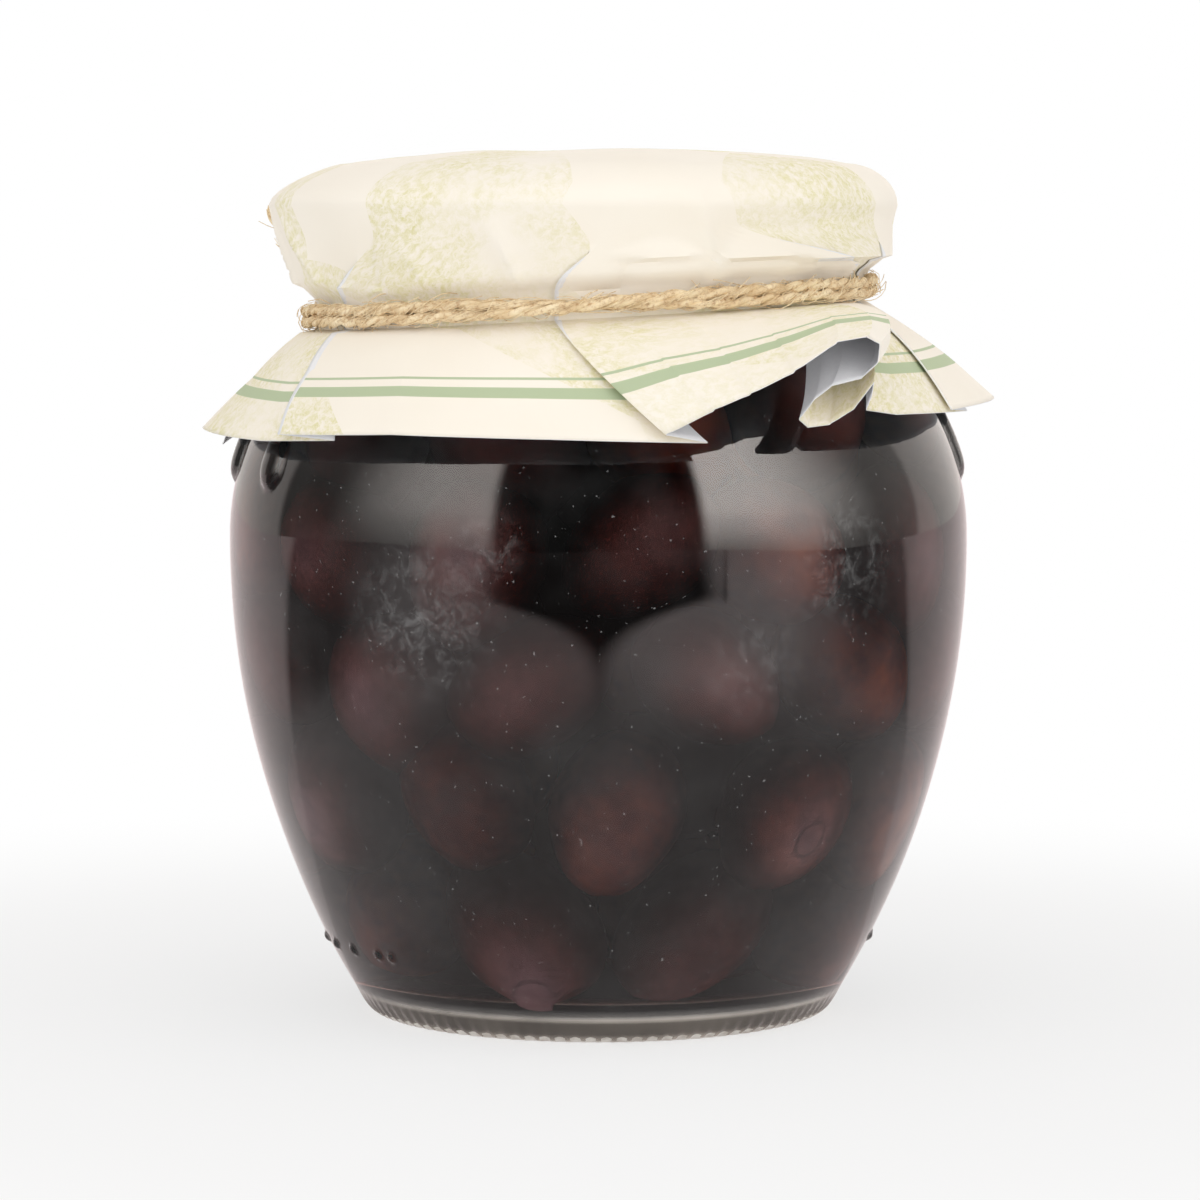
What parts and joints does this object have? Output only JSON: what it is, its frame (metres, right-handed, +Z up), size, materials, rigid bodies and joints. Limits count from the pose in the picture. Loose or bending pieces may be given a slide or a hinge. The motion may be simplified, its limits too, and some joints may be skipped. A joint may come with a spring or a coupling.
{
  "type": "jar of olives",
  "caption": "Bulging clear-glass jar packed with dark olives in brine, its lid under a pleated printed paper cover tied on with jute twine.",
  "frame": {"origin": "centre of the jar's foot, on the plane that it stands on", "axes": "+Z up the jar's axis, the shown front faces -Y, +X to the right seen from the front"},
  "size_m": [0.1065, 0.1046, 0.1152],
  "materials": {
    "clear_glass": "clear, smooth, with moulded relief",
    "olives_and_brine": "wet, dark purple-brown",
    "lid_metal": "lacquered",
    "printed_paper": "uncoated, printed on its outer side",
    "jute": "coarse two-ply twist with loose fibres"
  },
  "bodies": {
    "root": {"glass_jar": "clear_glass", "olives_in_brine": "olives_and_brine", "lid": "lid_metal", "paper_cover": "printed_paper", "twine": "jute"}
  },
  "joints": []
}
